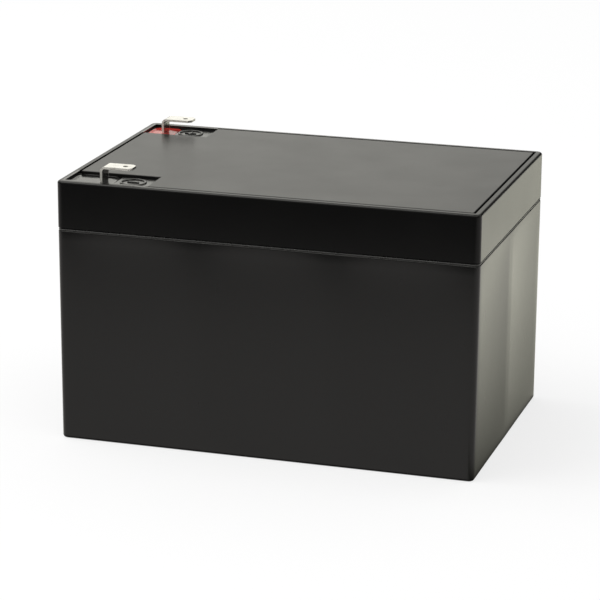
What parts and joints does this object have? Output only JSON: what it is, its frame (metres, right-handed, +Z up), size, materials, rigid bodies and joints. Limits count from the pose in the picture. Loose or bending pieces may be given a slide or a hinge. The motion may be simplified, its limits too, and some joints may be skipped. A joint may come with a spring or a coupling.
{
  "type": "sealed lead-acid ups battery",
  "caption": "Sealed rectangular battery block with a flanged cover, flush top plate and bent push-on tabs in two corner recesses.",
  "frame": {"origin": "middle of the underside", "axes": "+X along the length, away from the terminal end; -Y is the front long side, on the negative terminal's side; +Z up"},
  "size_m": [0.151, 0.098, 0.0986],
  "materials": {
    "case_plastic": "satin black ABS, lightly orange-peeled",
    "cover_plastic": "semi-gloss black ABS",
    "plate_plastic": "satin black ABS",
    "adhesive": "cured epoxy",
    "tinned_brass": "tin-plated brass strip",
    "lead": "cast lead, dull",
    "rubber": "moulded rubber",
    "negative_resin": "glossy black potting resin",
    "positive_resin": "glossy red potting resin",
    "glass_mat": "absorbent glass mat",
    "negative_mass": "grey sponge lead on cast grid",
    "positive_mass": "brown lead dioxide on cast grid"
  },
  "bodies": {
    "root": {"container": "case_plastic", "cover": "cover_plastic", "top_plate": "plate_plastic", "cover_adhesive": "adhesive", "negative_tab": "tinned_brass", "negative_post": "lead", "negative_o_ring": "rubber", "negative_potting": "negative_resin", "positive_tab": "tinned_brass", "positive_post": "lead", "positive_o_ring": "rubber", "positive_potting": "positive_resin", "vent_cap_1": "rubber", "separator_1": "glass_mat", "negative_plates_1": "negative_mass", "positive_plates_1": "positive_mass", "vent_cap_2": "rubber", "separator_2": "glass_mat", "negative_plates_2": "negative_mass", "positive_plates_2": "positive_mass", "vent_cap_3": "rubber", "separator_3": "glass_mat", "negative_plates_3": "negative_mass", "positive_plates_3": "positive_mass", "vent_cap_4": "rubber", "separator_4": "glass_mat", "negative_plates_4": "negative_mass", "positive_plates_4": "positive_mass", "vent_cap_5": "rubber", "separator_5": "glass_mat", "negative_plates_5": "negative_mass", "positive_plates_5": "positive_mass", "vent_cap_6": "rubber", "separator_6": "glass_mat", "negative_plates_6": "negative_mass", "positive_plates_6": "positive_mass", "intercell_weld_1": "lead", "intercell_weld_2": "lead", "intercell_weld_3": "lead", "intercell_weld_4": "lead", "intercell_weld_5": "lead"}
  },
  "joints": []
}
